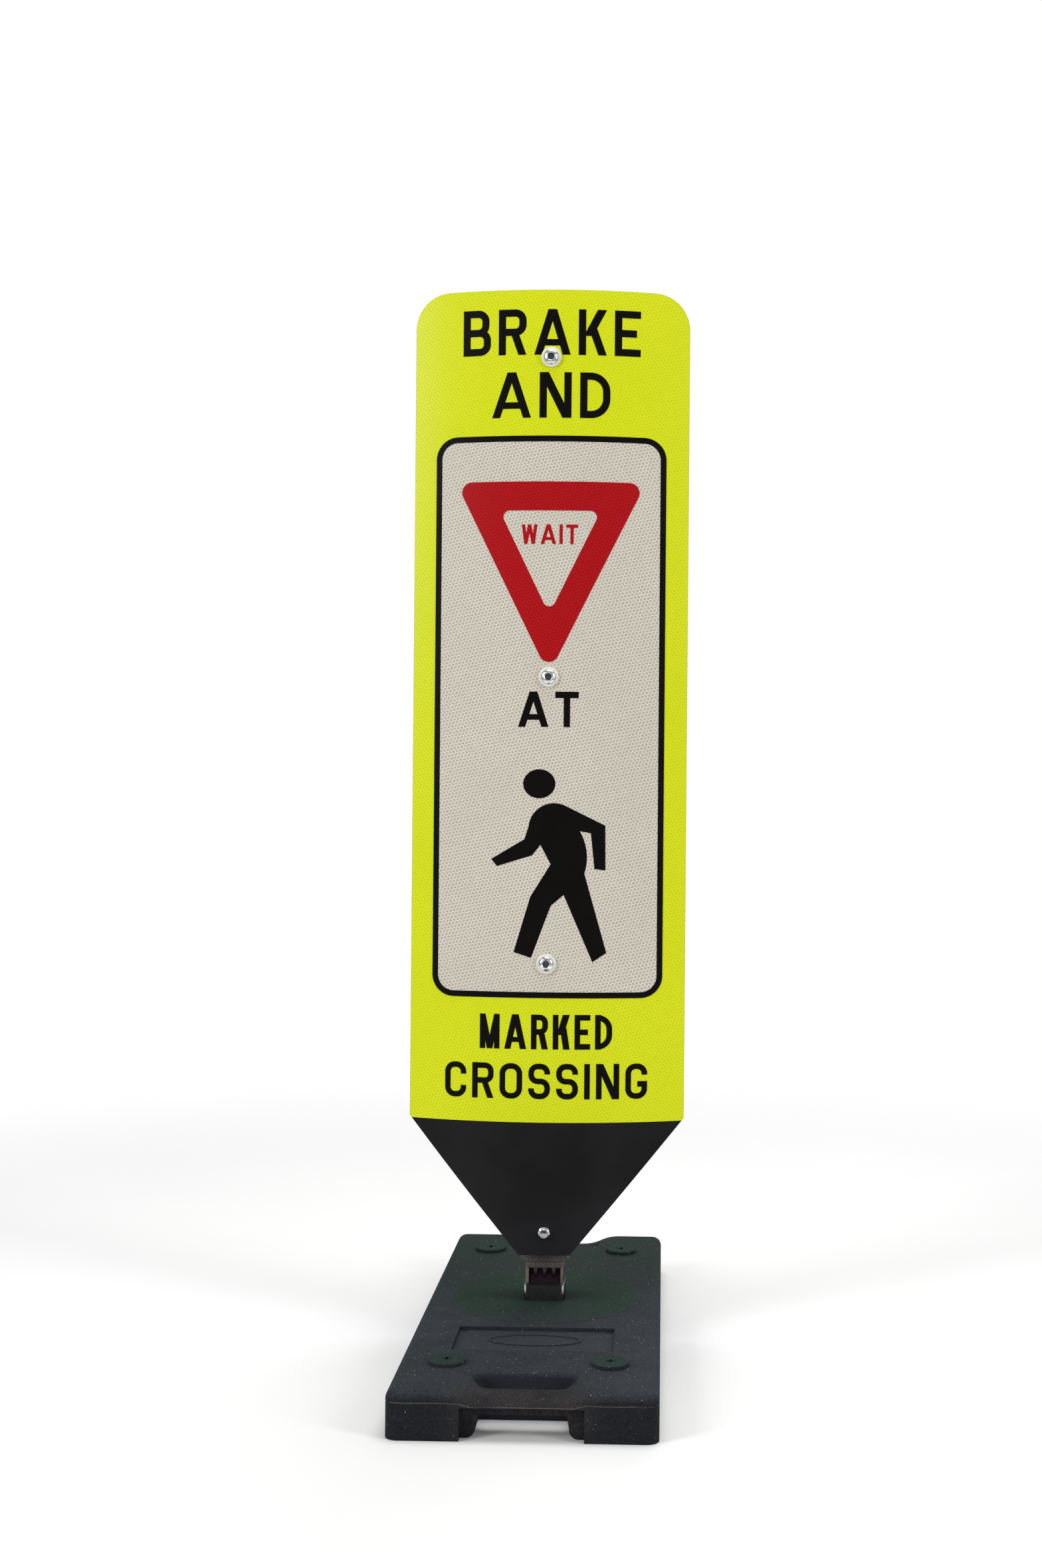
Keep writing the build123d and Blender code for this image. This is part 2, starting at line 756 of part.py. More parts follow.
# ================================================================ walking figure
def figure_body():
    """The striding figure below the head, in widths from the middle and drops from the top."""
    def at(x, drop):
        return (x, panel_top - drop)

    return make_face(
        [
            ThreePointArc(at(-20.6, 589.4), at(-5.5, 567.0), at(18.3, 566.1)),
            Polyline(at(18.3, 566.1), at(63.5, 588.1), at(64.0, 637.3), at(52.0, 635.8),
                     at(47.8, 596.5), at(35.5, 594.4)),
            ThreePointArc(at(35.5, 594.4), at(43.5, 619.0), at(40.9, 640.9)),
            Polyline(at(40.9, 640.9), at(65.7, 727.9), at(50.5, 738.0), at(18.5, 664.4),
                     at(4.4, 676.5), at(-16.9, 733.8), at(-36.1, 727.7), at(-18.3, 667.0),
                     at(3.9, 631.0), at(-7.4, 609.6), at(-16.5, 621.3), at(-55.5, 633.5),
                     at(-61.9, 625.7), at(-25.1, 603.6), at(-20.6, 589.4)),
        ]
    )


def make_figure():
    """The walking figure: an oval head and a body."""
    head = Pos(-9.3, panel_top - 542.7) * Ellipse(17.7, 15.9)
    return Compound(children=[ink(head), ink(figure_body())])


# ================================================================ fasteners through the sign
def on_field(drop):
    """True for a place on the white field, by its drop from the panel's top."""
    return field_top < drop < field_bottom


def washer_seat(drop):
    """How far from the middle plane a nylon washer sits: on the field or on the film."""
    return field_face_y if on_field(drop) else film_face_y


def make_panel_bolts():
    """Three button-head bolts along the middle of the sign."""
    bolts = []
    for drop in bolt_drops:
        z = panel_top - drop
        stack = washer_seat(drop) + nylon_washer_thickness
        rear_end = stack + nut_thickness + bolt_end
        head = rod_y(bolt_head_diameter, -stack - bolt_head_height, -stack, z)
        head = fillet(head.edges().sort_by(Axis.Y)[0], bolt_head_height * 0.75)
        bolt = head + rod_y(bolt_diameter, -stack, rear_end, z)
        bolt -= hex_y(bolt_socket, -stack - bolt_head_height, -stack - bolt_head_height * 0.3, z)
        bolts.append(at_mast(bolt))
    return Compound(children=bolts)


def nylon_washer(drop):
    """A thick nylon washer under a bolt head, on the front face."""
    back = -washer_seat(drop)
    front = back - nylon_washer_thickness
    disc = rod_y(nylon_washer_diameter, front, back, 0)
    disc = chamfer(disc.edges().sort_by(Axis.Y)[0], 0.5)
    return disc - rod_y(bolt_hole, front - 1, back + 1, 0)


def make_washers(turn):
    """Three nylon washers on one face."""
    places = [Rot(0, 0, turn) * Pos(0, 0, panel_top - drop) * nylon_washer(drop) for drop in bolt_drops]
    return Compound(children=[at_mast(washer) for washer in places])


def make_lock_nuts():
    """Three lock nuts behind the sign, each a hexagon with a round collar."""
    nuts = []
    for drop in bolt_drops:
        z = panel_top - drop
        seat = washer_seat(drop) + nylon_washer_thickness
        hexagon_end = seat + nut_thickness * 0.7
        nut = hex_y(nut_across_flats, seat, hexagon_end, z)
        nut += rod_y(nut_across_flats * 0.9, hexagon_end, seat + nut_thickness, z)
        nut -= rod_y(bolt_diameter, seat - 1, seat + nut_thickness + 1, z)
        nuts.append(at_mast(nut))
    return Compound(children=nuts)


def make_neck_bolt():
    """The flanged hexagon bolt through the neck and the coupler's plug."""
    face = -panel_face_y
    flange = face - neck_flange_thickness
    end = panel_face_y + neck_washer_thickness + neck_nut_thickness + neck_bolt_end
    bolt = rod_y(neck_flange_diameter, flange, face, neck_bolt_height)
    bolt += hex_y(neck_hex, flange - neck_hex_height, flange, neck_bolt_height)
    bolt += rod_y(neck_bolt_diameter, face, end, neck_bolt_height)
    return at_mast(bolt)


def make_neck_washer():
    """The washer under the neck bolt's nut."""
    seat = panel_face_y
    disc = rod_y(neck_flange_diameter, seat, seat + neck_washer_thickness, neck_bolt_height)
    return at_mast(disc - rod_y(neck_bolt_hole, seat - 1, seat + 2, neck_bolt_height))


def make_neck_nut():
    """The nut behind the neck."""
    seat = panel_face_y + neck_washer_thickness
    nut = hex_y(neck_nut_across_flats, seat, seat + neck_nut_thickness, neck_bolt_height)
    return at_mast(nut - rod_y(neck_bolt_diameter, seat - 1, seat + 9, neck_bolt_height))


# ================================================================ all nodes
def main():
    """Builds every node."""
    os.makedirs("parts", exist_ok=True)
    save("base_slab", make_base_slab())
    save("anchor_plate", make_anchor_plate())
    save("anchor_screws", make_anchor_screws())
    save("screw_inserts", make_screw_inserts())
    save("socket_tube", make_socket_tube())
    save("coupler_shank", make_coupler_shank())
    save("shank_insert", make_shank_insert())
    save("shank_screw", make_shank_screw())
    save("coupler_web", make_coupler_web())
    save("coupler_head", make_coupler_head())
    save("mast_tube", make_mast_tube())
    save("mast_cap", make_mast_cap())
    two_sided = {
        "panel": make_panel(),
        "film": make_film(),
        "field": make_field(),
        "border": make_border(),
        "triangle": make_triangle(),
        "figure": make_figure(),
        "legend": make_legend(),
    }
    for name, front in two_sided.items():
        save(f"front_{name}", at_mast(front))
        save(f"rear_{name}", at_mast(rear(front)))
    save("panel_bolts", make_panel_bolts())
    save("front_washers", make_washers(0))
    save("rear_washers", make_washers(180))
    save("lock_nuts", make_lock_nuts())
    save("neck_bolt", make_neck_bolt())
    save("neck_washer", make_neck_washer())
    save("neck_nut", make_neck_nut())


main()
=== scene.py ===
"""Finishes and small hardware of a portable crossing sign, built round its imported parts.
Metres, +Z up, the sign faces -Y."""

import math

import bpy
from mathutils import Matrix, Vector


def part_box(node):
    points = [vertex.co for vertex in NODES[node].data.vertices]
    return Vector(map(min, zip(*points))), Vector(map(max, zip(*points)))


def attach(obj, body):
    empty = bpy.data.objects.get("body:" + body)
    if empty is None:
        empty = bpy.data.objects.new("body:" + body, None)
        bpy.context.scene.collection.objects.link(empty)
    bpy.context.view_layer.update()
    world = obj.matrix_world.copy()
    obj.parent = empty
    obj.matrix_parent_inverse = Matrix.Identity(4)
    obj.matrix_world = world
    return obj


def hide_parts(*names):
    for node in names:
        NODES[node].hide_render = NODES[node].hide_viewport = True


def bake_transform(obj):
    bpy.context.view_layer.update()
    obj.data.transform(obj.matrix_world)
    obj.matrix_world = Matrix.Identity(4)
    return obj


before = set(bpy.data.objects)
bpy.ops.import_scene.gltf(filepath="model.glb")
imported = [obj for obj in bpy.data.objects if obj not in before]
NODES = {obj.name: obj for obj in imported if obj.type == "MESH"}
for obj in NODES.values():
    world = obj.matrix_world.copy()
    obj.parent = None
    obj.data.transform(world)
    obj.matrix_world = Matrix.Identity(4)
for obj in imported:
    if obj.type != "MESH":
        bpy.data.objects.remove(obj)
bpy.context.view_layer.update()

# ------------------------------------------------------------------ places and sizes, in metres
MAST_Y = sum(corner.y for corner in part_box("mast_tube")) / 2
PANEL_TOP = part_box("front_panel")[1].z
SOCKET_LOW, SOCKET_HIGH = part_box("socket_tube")
WEB_LOW, WEB_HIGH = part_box("coupler_web")
BOLT_DROPS = (0.0744, 0.4254, 0.7401)
BOLT_HEIGHTS = [PANEL_TOP - drop for drop in BOLT_DROPS]
LUG_HEIGHT = 0.004
LUG_X, LUG_Y, LUG_RADIUS = 0.080, 0.219, 0.0178
SLAB_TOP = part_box("base_slab")[1].z - LUG_HEIGHT
PAD_RADIUS = 0.105
RECESS_Y = MAST_Y - 0.158
RECESS_HALF_WIDTH, RECESS_HALF_LENGTH = 0.0805, 0.0388
RECESS_FLOOR = SLAB_TOP - 0.0035
HAND_SLOT_Y = 0.252
MOULD_LINE_HEIGHT = 0.0335
CELL_PITCH, CELL_RADIUS = 0.00404, 0.00172
BUTTON_RADIUS, BUTTON_RIM = 0.00825, 0.0008
BUTTON_DOME = [(0.0003, 0.0005), (0.0006, 0.0007), (0.0009, 0.0007), (0.0010, 0.0005),
               (0.0008, 0.0002), (0.0005, -0.0003)]
KEY_RADIUS, KEY_DEPTH = 0.0040, 0.0011
BOLT_RADIUS, NECK_BOLT_RADIUS = 0.004, 0.003
WASHER_RADIUS, WASHER_HOLE = 0.011, 0.0043
LOCK_NUT_FLATS, NECK_HEAD_FLATS, NECK_NUT_FLATS = 0.013, 0.0095, 0.010
NECK_FLANGE_RADIUS = 0.0063


# ------------------------------------------------------------------ shader writing
def paint(red, green, blue):
    """A display colour, 0 to 255, as the shader's linear colour."""
    linear = []
    for level in (red, green, blue):
        level = level / 255
        linear.append(level / 12.92 if level <= 0.04045 else ((level + 0.055) / 1.055) ** 2.4)
    return (*linear, 1.0)


class Value:
    """A shader socket that plain arithmetic can be written with."""

    def __init__(self, shader, socket):
        self.shader = shader
        self.socket = socket

    def math(self, operation, *others, swap=False):
        """One step of arithmetic; swap puts this value last."""
        terms = [*others, self] if swap else [self, *others]
        return self.shader.node("Math", {"operation": operation}, dict(enumerate(terms)))

    def __add__(self, other):
        return self.math("ADD", other)

    def __sub__(self, other):
        return self.math("SUBTRACT", other)

    def __rsub__(self, other):
        return self.math("SUBTRACT", other, swap=True)

    def __mul__(self, other):
        return self.math("MULTIPLY", other)

    def __truediv__(self, other):
        return self.math("DIVIDE", other)

    def __rtruediv__(self, other):
        return self.math("DIVIDE", other, swap=True)

    def __pow__(self, other):
        return self.math("POWER", other)

    def __abs__(self):
        return self.math("ABSOLUTE")

    __radd__ = __add__
    __rmul__ = __mul__


class Shader:
    """One material, built node by node."""

    def __init__(self, name):
        self.material = bpy.data.materials.new(name)
        self.material.use_nodes = True
        self.tree = self.material.node_tree
        self.tree.nodes.clear()

    def node(self, kind, settings=None, sockets=None, output=0):
        """Adds a node, sets it up, then fills its sockets with values or links."""
        made = self.tree.nodes.new("ShaderNode" + kind)
        for key, setting in (settings or {}).items():
            setattr(made, key, setting)
        for key, entry in (sockets or {}).items():
            if isinstance(entry, Value):
                self.tree.links.new(entry.socket, made.inputs[key])
            else:
                made.inputs[key].default_value = entry
        return Value(self, made.outputs[output]) if made.outputs else made

    def place(self, turn=(0, 0, 0), shift=(0, 0, 0)):
        """Object coordinates, turned and shifted."""
        where = self.node("TexCoord", output="Object")
        return self.node("Mapping", {}, {"Vector": where, "Rotation": turn, "Location": shift})

    def split(self, vector):
        """A vector's three parts."""
        made = self.tree.nodes.new("ShaderNodeSeparateXYZ")
        self.tree.links.new(vector.socket, made.inputs[0])
        return [Value(self, out) for out in made.outputs]

    def stretch(self, where, scale):
        """The same coordinates, scaled along each axis."""
        return self.node("Mapping", {}, {"Vector": where, "Scale": scale})

    def noise(self, where, scale, detail=3.0):
        """Soft clouds; a larger scale makes them finer."""
        sockets = {"Vector": where, "Scale": scale, "Detail": detail, "Roughness": 0.55}
        return self.node("TexNoise", {}, sockets, "Fac")

    def cells(self, where, scale, output="Distance"):
        """Grains: the distance from each one's middle, or its random colour."""
        return self.node("TexVoronoi", {}, {"Vector": where, "Scale": scale}, output)

    def step(self, value, low, high, start=0.0, end=1.0):
        """A soft step from start to end as the value goes from low to high."""
        settings = {"interpolation_type": "SMOOTHSTEP"}
        return self.node("MapRange", settings, {0: value, 1: low, 2: high, 3: start, 4: end})

    def mix(self, share, first, second):
        """A colour between two others."""
        return self.node("Mix", {"data_type": "RGBA"}, {0: share, 6: first, 7: second}, 2)

    def bump(self, height, strength, distance):
        """A normal that follows a fine relief."""
        sockets = {"Height": height, "Strength": strength, "Distance": distance}
        return self.node("Bump", {}, sockets)

    def finish(self, sockets):
        """Adds the surface with these sockets and closes the material."""
        surface = self.node("BsdfPrincipled", {}, sockets)
        self.node("OutputMaterial", {}, {"Surface": surface})
        return self.material


def within(shader, x, y, middle, radius, soft):
    """A round mask about a point on the ground plan."""
    away = ((x - middle[0]) ** 2 + (y - middle[1]) ** 2) ** 0.5
    return shader.step(away, radius - soft, radius + soft, 1.0, 0.0)


# ------------------------------------------------------------------ finishes
def slab_ground(s, x, y, z, tone, cloud, upper):
    """Painted light: a lighter top over darker sides; dust on the top, which turns green to the
    rear; and the recess's paler floor.
    """
    # Painted light: the sides are painted darker and the top lighter to stand in for the overhead
    # light; the top also carries dust clouds.
    side = s.mix(tone, paint(20, 22, 25), paint(34, 36, 40))
    lit_dusty_top = s.mix(tone, paint(30, 34, 38), paint(53, 57, 62))
    lit_dusty_top = s.mix(s.step(cloud, 0.35, 0.7) * 0.4, lit_dusty_top, paint(52, 56, 63))
    lit_dusty_top = s.mix(s.step(y, -0.12, 0.18) * 0.8, lit_dusty_top, paint(26, 41, 36))
    floor = s.step(abs(z - RECESS_FLOOR), 0.0016, 0.0010)
    floor = floor * s.step(abs(x), RECESS_HALF_WIDTH, RECESS_HALF_WIDTH - 0.001)
    floor = floor * s.step(abs(y - RECESS_Y), RECESS_HALF_LENGTH, RECESS_HALF_LENGTH - 0.0008)
    return s.mix(floor * 0.45, s.mix(upper, side, lit_dusty_top), paint(58, 62, 69))


def green_marks(s, shade, x, y, z, cloud):
    """The green lugs and the green pad about the socket, faded in front of the socket, with painted
    light on the pad's shaded riser.
    """
    lug = 0.0
    for across in (-LUG_X, LUG_X):
        for along in (-LUG_Y, LUG_Y):
            lug = within(s, x, y, (across, along), LUG_RADIUS, 0.0008) + lug
    pad = within(s, x, y, (0.0, MAST_Y), PAD_RADIUS - 0.0035, 0.0045)
    faded = s.step(y, MAST_Y - 0.02, MAST_Y - 0.08) * s.step(abs(x), 0.07, 0.02)
    pad = pad * (1.0 - faded * 0.6) * s.step(cloud, 0.25, 0.7, 0.5, 0.75)
    top = s.step(z, SLAB_TOP - 0.0008, SLAB_TOP + 0.0004)
    shade = s.mix((pad + lug * 0.55) * top, shade, paint(22, 49, 34))
    # Painted light: the pad's low riser lies in shade and is painted paler to hide its dark line.
    away = (x ** 2 + (y - MAST_Y) ** 2) ** 0.5
    painted_riser_light = s.step(abs(away - PAD_RADIUS), 0.0002, 0.0005, 1.0, 0.0) * top
    return s.mix(painted_riser_light, shade, paint(54, 61, 59))


def grip_wear_and_slot_light(s, shade, x, y, z, rub, fine):
    """Brown dust rubbed into the grip bars, and painted light on the shaded walls of the hand
    slots.
    """
    dust = s.mix(s.step(fine, 0.42, 0.62), paint(32, 29, 31), paint(68, 62, 63))
    shade = s.mix(rub * 0.6, shade, dust)
    # Painted light: the walls inside the hand slots lie in shade and are painted paler.
    painted_slot_light = s.step(abs(x), 0.078, 0.07) * s.step(abs(abs(y) - HAND_SLOT_Y), 0.022, 0.019)
    painted_slot_light = painted_slot_light * s.step(z, SLAB_TOP - 0.002, SLAB_TOP - 0.005)
    return s.mix(painted_slot_light * 0.7, shade, paint(50, 52, 60))


def mould_line(s, where, x, y, z):
    """A mask for the uneven trimmed line round the slab's edge, lower under the grip bars."""
    ragged = s.noise(where, 34.0, 3.0) * 0.0022
    under_bar = s.step(abs(x), 0.062, 0.042) * s.step(abs(y), 0.29, 0.3) * 0.0035
    height = ragged + MOULD_LINE_HEIGHT - under_bar
    rim = s.step(abs(x), 0.1262, 0.1274) + s.step(abs(y), 0.3022, 0.3036)
    line = s.step(abs(z - height), 0.0003, 0.0008, 1.0, 0.0) * rim.math("MINIMUM", 1.0)
    return line * s.step(s.noise(where, 45.0), 0.25, 0.5, 0.35, 1.0)


def pale_flecks(s, shade, upper):
    """Two sizes of pale fleck, fewer to be seen on the sides than on the top."""
    where = s.place(shift=(0.013, 0.027, 0.041))
    for scale, share, strength in ((400.0, 0.95, 0.9), (740.0, 0.935, 0.6)):
        chance = s.split(s.cells(where, scale, output="Color"))
        fleck = s.step(s.cells(where, scale), 0.12, 0.26, 1.0, 0.0)
        fleck = fleck * chance[0].math("GREATER_THAN", share) * (upper * 0.55 + 0.45)
        yellowish = chance[1].math("GREATER_THAN", 0.88)
        colour = s.mix(yellowish, paint(188, 190, 186), paint(150, 142, 96))
        shade = s.mix(fleck * (chance[2] * 0.7 + 0.3) * strength, shade, colour)
    return shade


def crumb_rubber():
    """Bonded tyre crumb: dark granules, pale flecks, green marks, worn grips, a mould line, and
    painted light on the top, the pad's riser and the hand slots.
    """
    s = Shader("crumb_rubber")
    where = s.place()
    x, y, z = s.split(where)
    grain = s.cells(where, 1050.0)
    tone = s.split(s.cells(where, 1050.0, output="Color"))[0]
    cloud = s.noise(where, 26.0, 4.0)
    fine = s.noise(where, 900.0, 2.0)
    upper = s.step(z, SLAB_TOP - 0.0105, SLAB_TOP - 0.0005)
    bar = s.step(abs(x), 0.085, 0.045) * s.step(abs(y), 0.262, 0.285)
    rub = bar * s.step(cloud, 0.3, 0.55)
    line = mould_line(s, where, x, y, z)
    shade = slab_ground(s, x, y, z, tone, cloud, upper)
    shade = green_marks(s, shade, x, y, z, cloud)
    shade = grip_wear_and_slot_light(s, shade, x, y, z, rub, fine)
    shade = s.mix(line * 0.55, shade, paint(92, 86, 82))
    shade = pale_flecks(s, shade, upper)
    rough = s.step(fine, 0.3, 0.7, 0.74, 0.92) - rub * 0.06
    relief = (1.0 - grain) * 0.5 + fine * 0.35 + cloud * 0.6 + line * 0.8
    normal = s.bump(relief, 0.4, 0.0005)
    return s.finish({"Base Color": shade, "Roughness": rough, "Normal": normal,
                     "Specular IOR Level": 0.12})


def rubber_dust(s, speck):
    """The pale speckled dust on the coupler's collar."""
    return s.mix(s.step(speck, 0.42, 0.62), paint(82, 76, 74), paint(138, 131, 127))


def moulded_rubber():
    """The coupler's rubber: painted shade low down below the web, dusty and speckled where it is
    rubbed, and painted highlights down its side edges.
    """
    s = Shader("moulded_rubber")
    where = s.place()
    x, _, z = s.split(where)
    speck = s.noise(where, 1500.0, 3.0)
    cloud = s.noise(where, 90.0, 3.0)
    shade = s.mix(s.step(speck, 0.4, 0.65), paint(38, 34, 35), paint(58, 53, 52))
    # Painted shade: the rubber below the web is painted near black.
    painted_shade_below_web = s.step(z, 0.070, 0.066)
    shade = s.mix(painted_shade_below_web * 0.8, shade, paint(19, 9, 14))
    collar = s.step(z, 0.084, 0.090)
    shade = s.mix(collar * 0.75, shade, rubber_dust(s, speck))
    # Painted highlight: pale streaks down the rounded side edges of the shank rim and the collar.
    edge = s.step(abs(x), 0.0178, 0.0196) * s.step(z, 0.062, 0.065) * s.step(z, 0.088, 0.085)
    shade = s.mix(edge * s.step(cloud, 0.3, 0.6, 0.5, 0.9), shade, paint(124, 118, 108))
    normal = s.bump(speck * 0.6 + cloud, 0.25, 0.0004)
    rough = s.step(cloud, 0.3, 0.7, 0.48, 0.7)
    return s.finish({"Base Color": shade, "Roughness": rough, "Normal": normal,
                     "Specular IOR Level": 0.4})


def web_rubber():
    """The flexing web: dark brownish rubber darkened further as painted shade under the collar,
    dusty on its side leaves and on its teeth, with painted highlights on the leaves' edges.
    """
    s = Shader("web_rubber")
    where = s.place()
    x, y, z = s.split(where)
    speck = s.noise(where, 1500.0, 3.0)
    cloud = s.noise(where, 90.0, 3.0)
    # Painted shade: the web's core is dark rubber painted darker still for the recess under the
    # collar.
    shade = s.mix(s.step(speck, 0.4, 0.65), paint(19, 8, 15), paint(38, 19, 29))
    deep = abs(y - MAST_Y)
    rubbed = s.mix(s.step(speck, 0.42, 0.62), paint(62, 56, 54), paint(106, 99, 94))
    proud = s.step(deep, 0.0082, 0.0104) * s.step(z, 0.069, 0.079)
    shade = s.mix(proud * 0.85, shade, rubbed)
    # Painted highlight: pale streaks down the side leaves' outer corners.
    edge = s.step(abs(x), 0.0172, 0.0180) * s.step(deep, 0.0088, 0.0098)
    shade = s.mix(edge * s.step(cloud, 0.3, 0.6, 0.6, 0.95), shade, paint(122, 116, 106))
    collar = s.step(z, 0.0786, 0.0822)
    shade = s.mix(collar * 0.75, shade, rubber_dust(s, speck))
    normal = s.bump(speck * 0.6 + cloud, 0.25, 0.0004)
    rough = s.step(cloud, 0.3, 0.7, 0.48, 0.7)
    return s.finish({"Base Color": shade, "Roughness": rough, "Normal": normal,
                     "Specular IOR Level": 0.15})


def black_enamel():
    """Glossy black enamel on the steel socket, scuffed to a fine haze, with a painted highlight
    down its front corners near the rim.
    """
    s = Shader("black_enamel")
    where = s.place()
    haze = s.noise(where, 240.0, 4.0)
    peel = s.noise(where, 900.0, 1.0)
    shade = s.mix(s.step(haze, 0.35, 0.75), paint(24, 27, 27), paint(34, 37, 37))
    x, y, z = s.split(where)
    # Painted highlight: a near-white strip down the socket's two front corners, fading down from
    # the rim.
    corner = s.step(abs(x), SOCKET_HIGH.x - 0.0027, SOCKET_HIGH.x - 0.0020)
    corner = corner * s.step(abs(x), SOCKET_HIGH.x - 0.0003, SOCKET_HIGH.x - 0.0009)
    corner = corner * s.step(y, MAST_Y, MAST_Y - 0.01)
    painted_corner_highlight = corner * s.step(z + haze * 0.006, SOCKET_HIGH.z - 0.0065, SOCKET_HIGH.z + 0.0005)
    shade = s.mix(painted_corner_highlight * 0.9, shade, paint(226, 234, 238))
    rough = s.step(haze, 0.3, 0.75, 0.14, 0.22)
    normal = s.bump(peel, 0.08, 0.0002)
    return s.finish({"Base Color": shade, "Roughness": rough, "Normal": normal,
                     "Specular IOR Level": 0.3})


def zinc_plate():
    """Yellowish-grey zinc plating with a cloudy passivated film."""
    s = Shader("zinc_plate")
    where = s.place()
    cloud = s.noise(where, 120.0, 4.0)
    fine = s.noise(where, 1400.0, 2.0)
    shade = s.mix(s.step(cloud, 0.3, 0.7), paint(188, 192, 196), paint(224, 227, 230))
    rough = s.step(fine, 0.3, 0.7, 0.2, 0.34)
    normal = s.bump(fine, 0.08, 0.0002)
    return s.finish({"Base Color": shade, "Metallic": 1.0, "Roughness": rough, "Normal": normal})


def galvanised_steel():
    """Hot-dip galvanising with a faint spangle, for the mast."""
    s = Shader("galvanised_steel")
    where = s.place()
    spangle = s.split(s.cells(where, 130.0, output="Color"))[0]
    streak = s.noise(s.stretch(where, (1.0, 1.0, 0.08)), 300.0)
    shade = s.mix(spangle, paint(150, 154, 158), paint(182, 185, 188))
    shade = s.mix(s.step(streak, 0.5, 0.8) * 0.4, shade, paint(124, 128, 132))
    rough = s.step(spangle, 0.0, 1.0, 0.34, 0.5)
    normal = s.bump(streak, 0.06, 0.0002)
    return s.finish({"Base Color": shade, "Metallic": 1.0, "Roughness": rough, "Normal": normal})


def bright_steel():
    """Polished stainless steel with turning marks, and painted shade inside the bolt heads' hexagon
    sockets.
    """
    s = Shader("bright_steel")
    where = s.place()
    marks = s.noise(s.stretch(where, (1.0, 6.0, 1.0)), 500.0)
    shade = s.mix(s.step(marks, 0.3, 0.7), paint(214, 217, 219), paint(238, 240, 242))
    x, _, z = s.split(where)
    # Painted shade: the hexagon sockets in the three bolt heads are painted dark.
    socket = 0.0
    for height in BOLT_HEIGHTS:
        socket = within(s, x, z, (0.0, height), KEY_RADIUS - 0.0002, 0.0003) + socket
    shade = s.mix(socket * 0.85, shade, paint(34, 36, 40))
    rough = s.step(marks, 0.3, 0.7, 0.16, 0.28) + socket * 0.2
    normal = s.bump(marks, 0.03, 0.0001)
    return s.finish({"Base Color": shade, "Metallic": 1.0, "Roughness": rough, "Normal": normal})


def nylon(name, red, green, blue, cover=1.0):
    """Natural nylon: milky, waxy and a little uneven."""
    s = Shader(name)
    where = s.place()
    cloud = s.noise(where, 260.0, 3.0)
    milky = paint(red + 10, green + 9, blue + 16)
    shade = s.mix(s.step(cloud, 0.3, 0.7), paint(red, green, blue), milky)
    rough = s.step(cloud, 0.3, 0.7, 0.3, 0.42)
    normal = s.bump(cloud, 0.05, 0.0002)
    return s.finish({"Base Color": shade, "Roughness": rough, "Normal": normal,
                     "Subsurface Weight": 0.25, "Subsurface Scale": 0.002, "Alpha": cover})


def black_plastic(name, low, high, gloss):
    """Extruded black plastic with a faint vertical drawn grain, cloudy tone and a painted sheen
    that lightens it towards the bottom.
    """
    s = Shader(name)
    where = s.place()
    drawn = s.noise(s.stretch(where, (1.0, 1.0, 0.04)), 420.0)
    cloud = s.noise(where, 9.0, 3.0)
    height = s.split(where)[2]
    # Cloudy tone, plus a painted sheen that makes the plastic lighter below about 0.22 m.
    dust_and_low_sheen = s.step(cloud, 0.35, 0.65) * 0.4 + s.step(height, 0.22, 0.1) * 0.6
    shade = s.mix(dust_and_low_sheen, paint(*low), paint(*high))
    rough = s.step(cloud, 0.3, 0.7, gloss, gloss + 0.1) + drawn * 0.06
    normal = s.bump(drawn, 0.05, 0.0003)
    return s.finish({"Base Color": shade, "Roughness": rough, "Normal": normal,
                     "Specular IOR Level": 0.18})


def cell_mask(s):
    """Round prismatic cells in close-packed rows: 1 in a cell, 0 on the seal lines."""
    across, _, up = s.split(s.place(turn=(0, math.radians(12), 0)))
    row = CELL_PITCH * math.sqrt(3)
    nearest = None
    for offset in (0.0, 0.5):
        u = across / CELL_PITCH + offset
        v = up / row + offset
        du = (u - u.math("ROUND")) * CELL_PITCH
        dv = (v - v.math("ROUND")) * row
        away = (du * du + dv * dv) ** 0.5
        nearest = away if nearest is None else nearest.math("MINIMUM", away)
    return s.step(nearest, CELL_RADIUS * 0.76, CELL_RADIUS * 1.14, 1.0, 0.0)


def sheeting(name, cell, seal, gloss=0.28, bump=0.12):
    """Reflective sheeting under a clear skin: round cells on paler seal lines."""
    s = Shader(name)
    where = s.place()
    mask = cell_mask(s)
    cloud = s.noise(where, 7.0, 3.0)
    shimmer = s.noise(where, 210.0, 2.0)
    inside = s.mix(s.step(shimmer, 0.3, 0.7), paint(*cell[0]), paint(*cell[1]))
    lines = s.mix(s.step(cloud, 0.3, 0.7), paint(*seal[0]), paint(*seal[1]))
    shade = s.mix(mask, lines, inside)
    rough = mask * 0.08 + gloss
    normal = s.bump(mask, bump, 0.00012)
    return s.finish({"Base Color": shade, "Roughness": rough, "Normal": normal,
                     "Specular IOR Level": 0.12, "Coat Weight": 0.03, "Coat Roughness": 0.2})


def black_ink():
    """Black screen ink over the sheeting, its cells just showing through."""
    s = Shader("black_ink")
    where = s.place()
    mask = cell_mask(s)
    cloud = s.noise(where, 60.0, 3.0)
    shade = s.mix(mask, paint(15, 13, 12), paint(9, 8, 7))
    rough = s.step(cloud, 0.3, 0.7, 0.42, 0.54)
    normal = s.bump(mask, 0.06, 0.0001)
    return s.finish({"Base Color": shade, "Roughness": rough, "Normal": normal,
                     "Specular IOR Level": 0.07})


